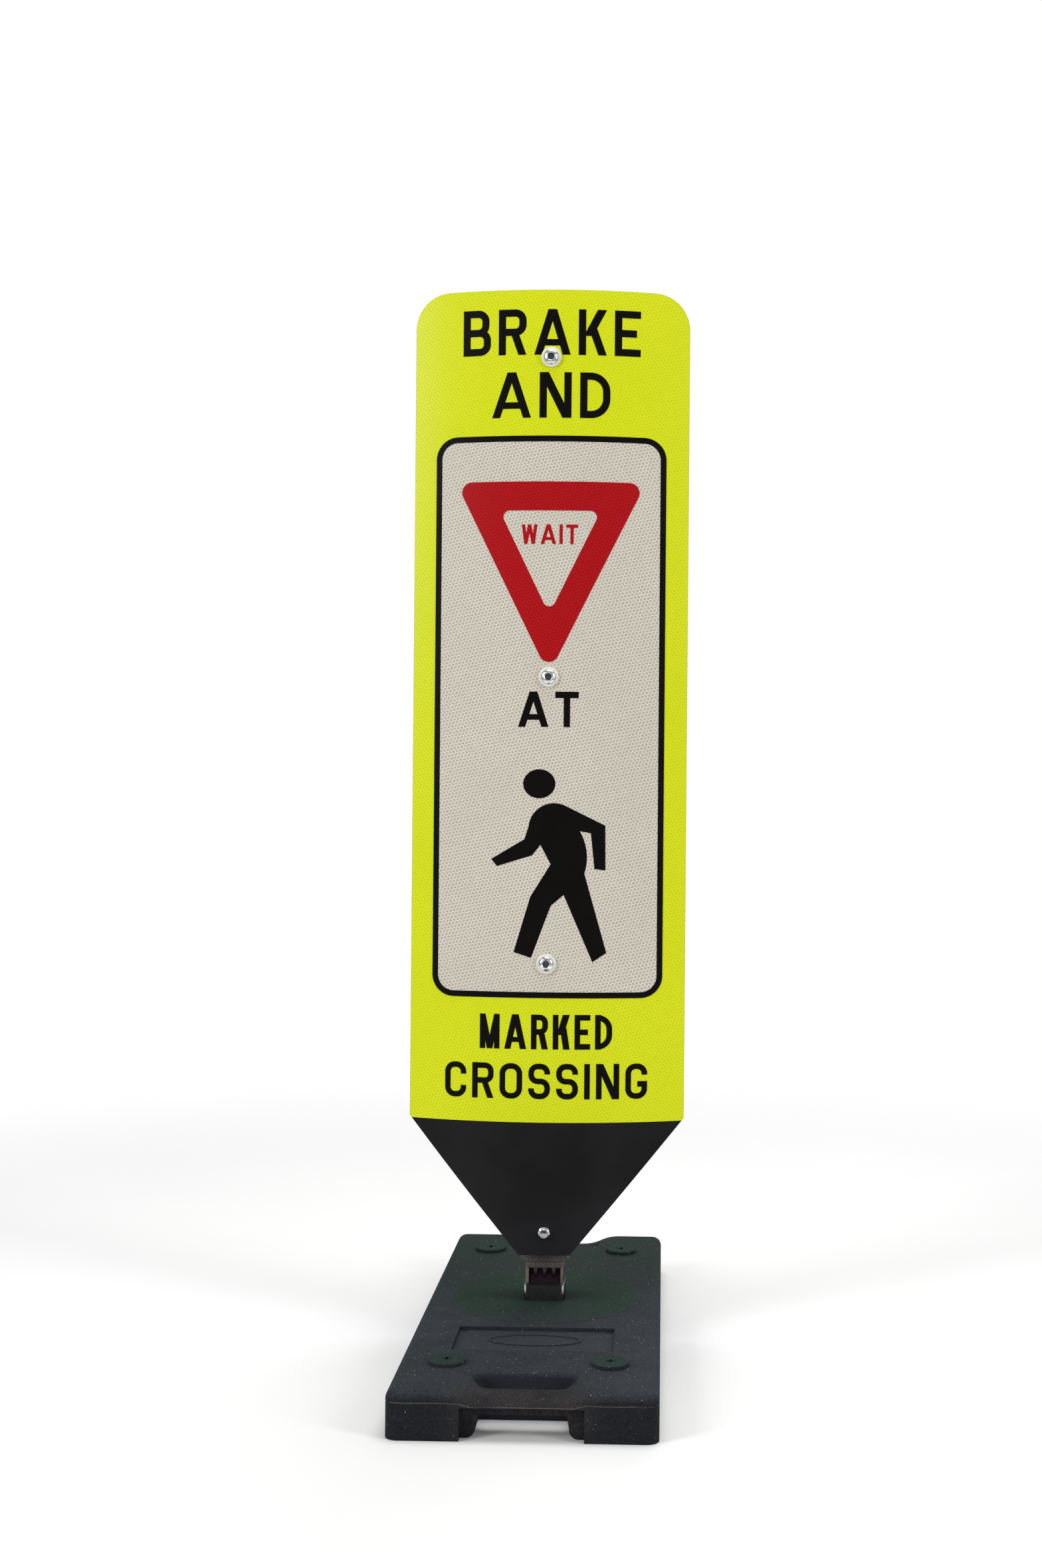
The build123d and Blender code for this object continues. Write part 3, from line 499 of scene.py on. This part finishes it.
FINISHES = {
    "crumb": crumb_rubber(),
    "coupler": moulded_rubber(),
    "web": web_rubber(),
    "enamel": black_enamel(),
    "zinc": zinc_plate(),
    "galvanised": galvanised_steel(),
    "bright": bright_steel(),
    "nylon": nylon("natural_nylon", 243, 241, 226, 0.86),
    "insert": nylon("insert_nylon", 150, 158, 160),
    "panel": black_plastic("panel_plastic", (8, 6, 6), (34, 32, 35), 0.44),
    "cap": black_plastic("cap_plastic", (24, 24, 25), (34, 34, 35), 0.35),
    "yellow": sheeting("yellow_green_sheeting", ((201, 216, 22), (208, 221, 28)),
                       ((221, 228, 28), (228, 232, 34))),
    "white": sheeting("white_sheeting", ((183, 173, 161), (193, 184, 172)),
                      ((222, 218, 204), (230, 226, 212))),
    "red": sheeting("red_sheeting", ((154, 12, 18), (162, 14, 20)),
                    ((184, 18, 26), (190, 20, 28)), 0.3, 0.1),
    "black": black_ink(),
}
NODE_FINISHES = {
    "base_slab": "crumb", "anchor_plate": "zinc", "anchor_screws": "zinc",
    "screw_inserts": "zinc", "socket_tube": "enamel", "coupler_shank": "coupler",
    "shank_insert": "zinc", "shank_screw": "zinc", "coupler_web": "coupler",
    "coupler_head": "coupler", "mast_tube": "galvanised", "mast_cap": "cap",
    "panel_bolts": "bright", "front_washers": "nylon", "rear_washers": "nylon",
    "lock_nuts": "zinc", "neck_bolt": "zinc", "neck_washer": "zinc", "neck_nut": "zinc",
}
LAYER_FINISHES = {
    "panel": "panel", "film": "yellow", "field": "white", "border": "black",
    "triangle": "red", "figure": "black", "legend": "black",
}
for side in ("front", "rear"):
    for layer, finish in LAYER_FINISHES.items():
        NODE_FINISHES[f"{side}_{layer}"] = finish


def dress(piece, finish):
    """Gives a piece one finish."""
    piece.data.materials.clear()
    piece.data.materials.append(FINISHES[finish])


for node, finish in NODE_FINISHES.items():
    dress(NODES[node], finish)


# ------------------------------------------------------------------ making pieces
NEAR = 1e-5     # corners closer than this are in the same plane


def clear():
    """Leaves edit mode with nothing selected."""
    if bpy.context.mode != "OBJECT":
        bpy.ops.object.mode_set(mode="OBJECT")
    bpy.ops.object.select_all(action="DESELECT")


def hold(piece):
    """Makes one piece the selected and active one."""
    clear()
    piece.select_set(True)
    bpy.context.view_layer.objects.active = piece


def settle(piece, name):
    """Names a new piece and puts its place and size into its mesh."""
    hold(piece)
    piece.name = name
    bpy.ops.object.transform_apply(location=True, rotation=True, scale=True)
    return piece


def block(name, low, high):
    """A cuboid between two corners."""
    clear()
    low, high = Vector(low), Vector(high)
    bpy.ops.mesh.primitive_cube_add(size=1.0, location=(low + high) / 2)
    bpy.context.object.scale = high - low
    return settle(bpy.context.object, name)


def rod(name, z, near, far, radius, sides):
    """A rod along Y between two depths, on the sign's middle line."""
    clear()
    middle = (0.0, (near + far) / 2, z)
    bpy.ops.mesh.primitive_cylinder_add(vertices=sides, radius=radius, depth=abs(far - near),
                                        location=middle, rotation=(math.pi / 2, 0, 0))
    return settle(bpy.context.object, name)


def pick(piece, kind, test):
    """Opens a piece with only the corners, edges or faces that pass the test selected."""
    hold(piece)
    mesh = piece.data
    bpy.context.tool_settings.mesh_select_mode = (kind == "VERT", kind == "EDGE", kind == "FACE")
    for group in (mesh.vertices, mesh.edges, mesh.polygons):
        group.foreach_set("select", [False] * len(group))
    if kind == "FACE":
        for face in mesh.polygons:
            face.select = test(face.center, face.normal)
    elif kind == "EDGE":
        for edge in mesh.edges:
            a, b = (mesh.vertices[i].co for i in edge.vertices)
            edge.select = test((a + b) / 2, (b - a).normalized())
    else:
        for corner in mesh.vertices:
            corner.select = test(corner.co, corner.normal)
    bpy.ops.object.mode_set(mode="EDIT")


def round_edges(piece, test, radius, segments):
    """Rounds the edges that pass the test."""
    pick(piece, "EDGE", test)
    bpy.ops.mesh.bevel(offset=radius, segments=segments, profile=0.5, affect="EDGES")
    clear()


def slice_at(piece, heights):
    """Adds a ring of edges round a piece at each height."""
    for height in heights:
        pick(piece, "FACE", lambda centre, normal: True)
        bpy.ops.mesh.bisect(plane_co=(0, 0, height), plane_no=(0, 0, 1))
    clear()


def taper(piece, heights, middle, widths, depths):
    """Scales each ring of corners about the piece's middle: a factor across and one in depth."""
    for height, width, depth in zip(heights, widths, depths):
        pick(piece, "VERT", lambda place, normal: abs(place.z - height) < NEAR)
        bpy.ops.transform.resize(value=(width, depth, 1.0), center_override=(*middle, height))
    clear()


def step_cap(piece, toward, steps):
    """Raises a domed or stepped cap on the end that looks toward -Y or +Y.

    Each step goes a distance inward and a distance outward."""
    end = (min if toward < 0 else max)(corner.co.y for corner in piece.data.vertices)
    pick(piece, "FACE", lambda centre, normal: normal.y * toward > 0.9
         and abs(centre.y - end) < NEAR)
    for inward, outward in steps:
        bpy.ops.mesh.inset(thickness=inward, depth=outward, use_even_offset=False)
    clear()


def combine(piece, other, operation):
    """Cuts a piece with another or keeps what they share, and removes the other."""
    hold(piece)
    change = piece.modifiers.new(operation.lower(), "BOOLEAN")
    change.operation = operation
    change.object = other
    change.solver = "EXACT"
    bpy.ops.object.modifier_apply(modifier=change.name)
    bpy.data.objects.remove(other)
    pick(piece, "VERT", lambda place, normal: True)
    bpy.ops.mesh.remove_doubles(threshold=0.00003)
    clear()
    return piece


def copied(piece, shifts):
    """The piece, and a copy of it with its own mesh at each shift from it."""
    pieces = [piece]
    for shift in shifts:
        hold(piece)
        bpy.ops.object.duplicate(linked=False)
        bpy.context.object.location = shift
        pieces.append(settle(bpy.context.object, piece.name))
    return pieces


def join(name, pieces):
    """Makes several pieces one."""
    clear()
    for piece in pieces:
        piece.select_set(True)
    bpy.context.view_layer.objects.active = pieces[0]
    bpy.ops.object.join()
    bpy.context.object.name = name
    return bpy.context.object


def complete(piece, finish, body, nodes, angle=35.0):
    """Shades and finishes a piece, and fixes it to its body in place of the nodes it stands for."""
    hold(piece)
    bpy.ops.object.shade_smooth_by_angle(angle=math.radians(angle))
    dress(piece, finish)
    if body:
        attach(piece, body)
    if nodes:
        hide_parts(*nodes)


def extent(node, height, reach=0.02):
    """The front and back of the part of a node that is near one height."""
    depths = [v.co.y for v in NODES[node].data.vertices if abs(v.co.z - height) < reach]
    return min(depths), max(depths)


# ------------------------------------------------------------------ socket and coupler
COLUMN_HALF = 0.01     # half the depth of a rubber column before it is tapered


def socket_sleeve():
    """The enamelled square tube: rounded corners, eased rim, open top."""
    half = SOCKET_HIGH.x
    low = (-half, MAST_Y - half, SOCKET_LOW.z)
    tube = block("socket_sleeve", low, (half, MAST_Y + half, SOCKET_HIGH.z))
    round_edges(tube, lambda middle, along: abs(along.z) > 0.9, 0.005, 8)
    pick(tube, "FACE", lambda centre, normal: normal.z > 0.9)
    bpy.ops.mesh.inset(thickness=0.0021)
    bpy.ops.mesh.extrude_region_move(TRANSFORM_OT_translate={"value": (0, 0, -0.03)})
    clear()
    top = SOCKET_HIGH.z
    round_edges(tube, lambda middle, along: abs(along.z) < 0.1 and middle.z > top - NEAR,
                0.0005, 3)
    complete(tube, "enamel", "base", ["socket_tube"])


def column(name, x, width, heights):
    """A block of rubber with a ring of corners at each height and a known depth to scale."""
    low, high = min(heights), max(heights)
    made = block(name, (x - width / 2, MAST_Y - COLUMN_HALF, low),
                 (x + width / 2, MAST_Y + COLUMN_HALF, high))
    slice_at(made, heights[1:-1])
    return made


def waisted(name, x, width, low, high, bottom, waist, top):
    """An upright rubber leaf of a given width whose depth narrows to a waist."""
    count = 9
    shares = [i / (count - 1) for i in range(count)]
    heights = [low + (high - low) * i / (count - 1) for i in range(count)]
    leaf = column(name, x, width, heights)
    depths = []
    for share in shares:
        ends = bottom + (top - bottom) * share
        narrowed = ends - (min(bottom, top) - waist) * math.sin(math.pi * share)
        depths.append(narrowed / COLUMN_HALF)
    taper(leaf, heights, (x, MAST_Y), [1.0] * count, depths)
    return leaf


def gussets(pitch):
    """Three teeth that hang from the collar and fade into the web."""
    low, high, count = WEB_LOW.z + 0.0045, WEB_HIGH.z, 8
    shares = [i / (count - 1) for i in range(count)]
    heights = [low + (high - low) * i / (count - 1) for i in range(count)]
    tooth = column("tooth", -pitch, 0.0056, heights)
    widths = [0.45 + 0.65 * share**1.3 for share in shares]
    depths = [0.82 + 0.38 * share**0.8 for share in shares]
    taper(tooth, heights, (-pitch, MAST_Y), widths, depths)
    round_edges(tooth, lambda middle, along: abs(along.z) > 0.5, 0.0005, 2)
    return copied(tooth, [(pitch, 0, 0), (2 * pitch, 0, 0)])


def side_leaves(reach, low, high):
    """The two leaves at the web's sides, prouder than the web itself."""
    leaf = waisted("leaf", -reach, 0.0036, low, high, 0.0122, 0.0104, 0.0108)
    round_edges(leaf, lambda middle, along: abs(along.z) > 0.5, 0.0007, 3)
    return copied(leaf, [(2 * reach, 0, 0)])


def funnel():
    """The rubber under the collar, drawn in from the collar's width to the web's."""
    rings = [(0.0862, 0.0209, 0.0124), (0.0850, 0.0203, 0.0124), (0.0836, 0.0195, 0.0122),
             (0.0822, 0.0186, 0.0119), (0.0808, 0.0176, 0.0115), (0.0794, 0.0166, 0.0108)]
    heights = [height for height, _, _ in rings]
    piece = column("funnel", 0.0, 2 * COLUMN_HALF, heights)
    taper(piece, heights, (0.0, MAST_Y), [half_width / COLUMN_HALF for _, half_width, _ in rings],
          [half_depth / COLUMN_HALF for _, _, half_depth in rings])
    round_edges(piece, lambda middle, along: middle.z < heights[-1] + NEAR, 0.0006, 3)
    return piece


def rebound_web():
    """The flexing rubber between socket and collar: web, side leaves, teeth and funnel."""
    low, high = WEB_LOW.z, WEB_HIGH.z
    half = WEB_HIGH.x
    core = waisted("core", 0.0, 2 * half - 0.003, low, high, 0.0098, 0.0066, 0.0122)
    leaves = side_leaves(half - 0.0018, low, high)
    web = join("rebound_web", [core, *leaves, *gussets(0.0100), funnel()])
    complete(web, "web", None, ["coupler_web"], 40.0)
    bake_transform(web)


# ------------------------------------------------------------------ fasteners
def hexagon(name, z, near, far, across_flats, chamfer):
    """A hexagonal head with its corners turned off at both ends."""
    corner = across_flats / 2 / math.cos(math.pi / 6)
    prism = rod(name, z, near, far, corner, 6)
    turned = rod("turned", z, near, far, corner - chamfer * 0.2, 64)
    round_edges(turned, lambda middle, along: abs(along.y) < 0.1, chamfer, 1)
    return combine(prism, turned, "INTERSECT")


def at_each_bolt(piece, node, end):
    """The piece made at the lowest bolt, with copies at the others.

    Each is as far forward as the node's near end (0) or far end (1) there."""
    low = BOLT_HEIGHTS[-1]
    here = extent(node, low)[end]
    shifts = [(0.0, extent(node, z)[end] - here, z - low) for z in BOLT_HEIGHTS[:-1]]
    return copied(piece, shifts)


def button_bolts(z):
    """Button-head screws with a hexagon socket, and their shanks."""
    seat = extent("front_washers", z)[0]
    end = extent("panel_bolts", z)[1]
    head = rod("button_head", z, seat, seat - BUTTON_RIM, BUTTON_RADIUS, 64)
    step_cap(head, -1, BUTTON_DOME)
    socket = rod("socket", z, seat - 0.008, seat - KEY_DEPTH, KEY_RADIUS, 6)
    combine(head, socket, "DIFFERENCE")
    shank = rod("shank", z, seat - 0.0004, end - 0.0008, BOLT_RADIUS, 32)
    step_cap(shank, 1, [(0.0007, 0.0008)])
    heads = at_each_bolt(head, "front_washers", 0)
    return join("button_bolts", [*heads, *at_each_bolt(shank, "panel_bolts", 1)])


def ring(name, z, near, far, outside, inside, edge):
    """A round washer with eased edges."""
    washer = rod(name, z, near, far, outside, 64)
    pick(washer, "FACE", lambda centre, normal: abs(normal.y) > 0.9)
    bpy.ops.mesh.inset(thickness=outside - inside)
    clear()
    pick(washer, "FACE", lambda centre, normal: abs(normal.y) > 0.9
         and math.hypot(centre.x, centre.z - z) < NEAR)
    bpy.ops.mesh.bridge_edge_loops()
    clear()
    round_edges(washer, lambda place, along: abs(along.y) < 0.1
                and math.hypot(place.x, place.z - z) > outside * 0.97, edge, 3)
    return washer


def lock_nut(z):
    """A nylon-insert nut seen from behind: chamfered hexagon and a turned collar."""
    near, far = extent("lock_nuts", z)
    nut = hexagon("lock_nut", z, near, far - 0.0018, LOCK_NUT_FLATS, 0.0008)
    collar = ring("collar", z, far - 0.0022, far, 0.0054, 0.0047, 0.0006)
    return join("lock_nut", [nut, collar])


def neck_hardware():
    """The small zinc flange bolt at the neck, with its washer and nut behind."""
    low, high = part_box("neck_bolt")
    z = (low.z + high.z) / 2
    face = extent("front_panel", z, 0.004)[0]
    flange = rod("flange", z, face - 0.0001, face - 0.0007, NECK_FLANGE_RADIUS, 64)
    step_cap(flange, -1, [(0.0003, 0.0002), (0.0012, 0.0005)])
    head = hexagon("head", z, face - 0.0008, low.y + 0.0001, NECK_HEAD_FLATS, 0.0006)
    step_cap(head, -1, [(0.0007, 0.0001), (0.0006, -0.0003)])
    shank = rod("shank", z, face - 0.0002, high.y - 0.0006, NECK_BOLT_RADIUS, 32)
    step_cap(shank, 1, [(0.0006, 0.0006)])
    bolt = join("neck_flange_bolt", [flange, head, shank])
    complete(bolt, "zinc", "sign", ["neck_bolt"])
    near, far = extent("neck_washer", z)
    washer = ring("neck_flat_washer", z, near, far, NECK_FLANGE_RADIUS, 0.0033, 0.0003)
    complete(washer, "zinc", "sign", ["neck_washer"])
    near, far = extent("neck_nut", z)
    nut = hexagon("neck_hex_nut", z, near, far, NECK_NUT_FLATS, 0.0006)
    complete(nut, "zinc", "sign", ["neck_nut"])


def panel_hardware():
    """The three bolts through both panels, with nylon washers and lock nuts."""
    z = BOLT_HEIGHTS[-1]
    complete(button_bolts(z), "bright", "sign", ["panel_bolts"], 30.0)
    for side in ("front", "rear"):
        node = f"{side}_washers"
        near, far = extent(node, z)
        washer = ring("washer", z, near, far, WASHER_RADIUS, WASHER_HOLE, 0.0006)
        washers = join(f"{side}_nylon_washers", at_each_bolt(washer, node, 0))
        complete(washers, "nylon", "sign", [node])
    nuts = join("nylon_insert_nuts", at_each_bolt(lock_nut(z), "lock_nuts", 0))
    complete(nuts, "zinc", "sign", ["lock_nuts"])
    far = extent("lock_nuts", z)[1]
    insert = ring("insert", z, far - 0.0021, far - 0.0004, 0.0048, 0.0041, 0.0002)
    inserts = join("nut_inserts", at_each_bolt(insert, "lock_nuts", 1))
    complete(inserts, "insert", "sign", ())


socket_sleeve()
rebound_web()
panel_hardware()
neck_hardware()


# ------------------------------------------------------------------ camera, floor and light
CAMERA_PLACE = (0.1279, MAST_Y - 1.956, 0.5912)
YAW, PITCH, ROLL = -0.0264, 0.0023, 0.0085
SURROUND_LIGHT, SURROUND_SEEN = 0.34, 1.0


def camera():
    """The view from the front, a little to the right and at half the sign's height."""
    ahead = Vector((math.sin(YAW) * math.cos(PITCH), math.cos(YAW) * math.cos(PITCH),
                    math.sin(PITCH)))
    level = Vector((math.cos(YAW), -math.sin(YAW), 0.0))
    upright = level.cross(ahead)
    right = level * math.cos(ROLL) + upright * math.sin(ROLL)
    up = upright * math.cos(ROLL) - level * math.sin(ROLL)
    data = bpy.data.cameras.new("camera")
    data.lens = 40.384
    data.sensor_width = 36.0
    data.shift_x = -0.0617
    data.shift_y = 0.0117
    data.clip_start = 0.05
    data.clip_end = 60.0
    made = bpy.data.objects.new("camera", data)
    bpy.context.scene.collection.objects.link(made)
    turn = Matrix((right, up, -ahead)).transposed().to_4x4()
    made.matrix_world = Matrix.Translation(CAMERA_PLACE) @ turn
    bpy.context.scene.camera = made


def soft_light(name, place, aim, size, power):
    """A white softbox aimed at a point."""
    data = bpy.data.lights.new(name, "AREA")
    data.shape = "RECTANGLE"
    data.size, data.size_y = size
    data.energy = power
    made = bpy.data.objects.new(name, data)
    bpy.context.scene.collection.objects.link(made)
    made.location = place
    made.rotation_euler = (Vector(aim) - Vector(place)).to_track_quat("-Z", "Y").to_euler()


def studio():
    """A pale floor that fades out, a white surround and four softboxes."""
    clear()
    bpy.ops.mesh.primitive_plane_add(size=14.0, location=(0, 0, -0.0004))
    floor = bpy.context.object
    floor.name = "floor"
    s = Shader("pale_floor")
    cloud = s.noise(s.place(), 3.0, 2.0)
    x, y, _ = s.split(s.place())
    edge = s.step((x * x + y * y) ** 0.5, 0.75, 1.9, 1.0, 0.0)
    shade = s.mix(cloud, (0.8, 0.8, 0.8, 1), (0.84, 0.84, 0.84, 1))
    s.finish({"Base Color": shade, "Roughness": 0.7, "Alpha": edge})
    floor.data.materials.append(s.material)
    world = bpy.data.worlds.new("surround")
    world.use_nodes = True
    tree = world.node_tree
    shell = tree.nodes["Background"]
    shell.inputs["Color"].default_value = (1.0, 1.0, 1.0, 1.0)
    seen = tree.nodes.new("ShaderNodeLightPath").outputs["Is Camera Ray"]
    level = tree.nodes.new("ShaderNodeMapRange")
    level.inputs["To Min"].default_value = SURROUND_LIGHT
    level.inputs["To Max"].default_value = SURROUND_SEEN
    tree.links.new(seen, level.inputs["Value"])
    tree.links.new(level.outputs["Result"], shell.inputs["Strength"])
    bpy.context.scene.world = world
    soft_light("overhead", (0.2, 0.1, 3.0), (0, 0, 0.1), (1.7, 1.7), 58.0)
    soft_light("left_bank", (-2.5, -1.9, 1.9), (0, 0, 0.6), (0.9, 1.9), 56.0)
    soft_light("right_bank", (2.7, -1.6, 1.6), (0, 0, 0.55), (0.7, 1.7), 38.0)
    soft_light("rear_bank", (0.6, 2.9, 2.0), (0, 0, 0.5), (1.6, 1.6), 20.0)
    bpy.context.scene.view_settings.view_transform = "Standard"


camera()
studio()
